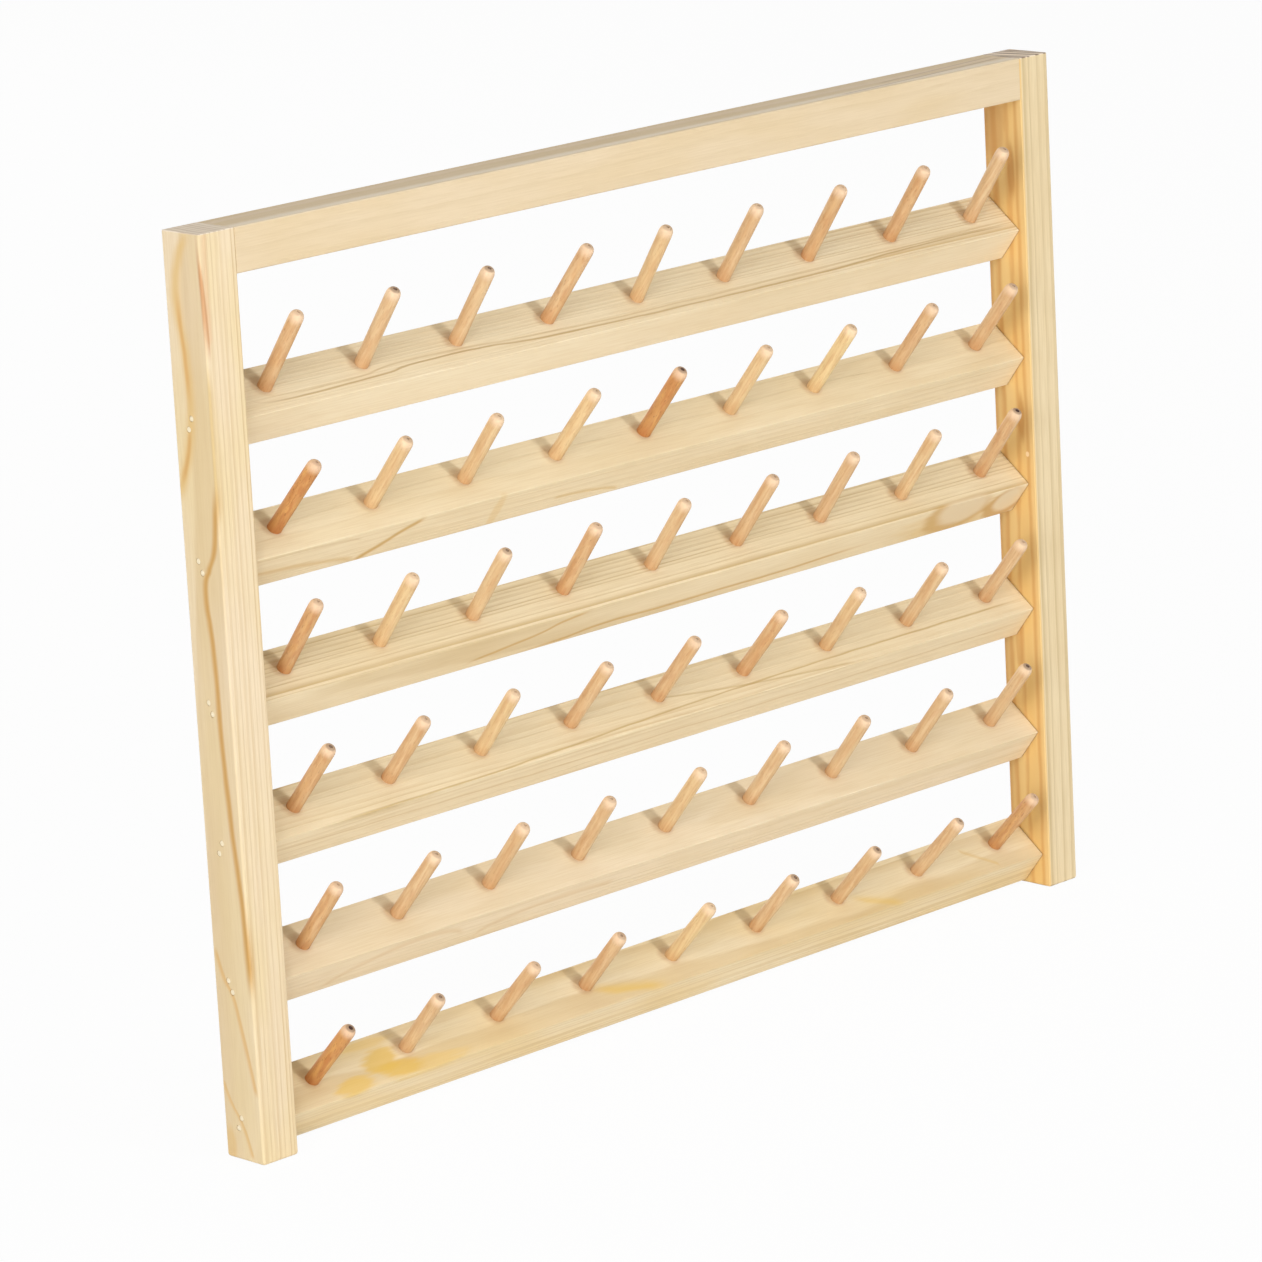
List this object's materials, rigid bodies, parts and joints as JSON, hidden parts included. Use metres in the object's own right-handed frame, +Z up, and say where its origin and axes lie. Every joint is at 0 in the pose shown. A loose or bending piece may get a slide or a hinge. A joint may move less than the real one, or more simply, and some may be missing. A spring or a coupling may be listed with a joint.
{
  "type": "thread rack",
  "caption": "Wall-hung pine rack for sewing thread: an upright frame with leaned rails, each carrying a row of slanted spool pegs.",
  "frame": {"origin": "mouth of the middle hanging hole, in the back of the top rail, on the plane of the wall", "axes": "+X to the right seen from the front, +Y back into the wall, +Z up along the posts"},
  "size_m": [0.4, 0.0278, 0.307],
  "materials": {
    "pine_frame": "sanded bare pine, planed smooth",
    "pine_rail": "sanded bare pine with straight grain",
    "peg_wood": "turned hardwood pegs, bare",
    "filler_paste": "pale wood filler, sanded flush",
    "nail_steel": "bright wire nail",
    "dowel_wood": "fluted beech dowel, glued"
  },
  "bodies": {
    "root": {"left_post": "pine_frame", "right_post": "pine_frame", "top_rail": "pine_frame", "peg_rail_1": "pine_rail", "peg_rail_2": "pine_rail", "peg_rail_3": "pine_rail", "peg_rail_4": "pine_rail", "peg_rail_5": "pine_rail", "peg_rail_6": "pine_rail", "pegs_row_1": "peg_wood", "pegs_row_2": "peg_wood", "pegs_row_3": "peg_wood", "pegs_row_4": "peg_wood", "pegs_row_5": "peg_wood", "pegs_row_6": "peg_wood", "rail_nails_1": "nail_steel", "rail_nails_2": "nail_steel", "rail_nails_3": "nail_steel", "rail_nails_4": "nail_steel", "rail_nails_5": "nail_steel", "rail_nails_6": "nail_steel", "nail_fillers_left": "filler_paste", "nail_fillers_right": "filler_paste", "top_rail_dowels_left": "dowel_wood", "top_rail_dowels_right": "dowel_wood"}
  },
  "joints": []
}
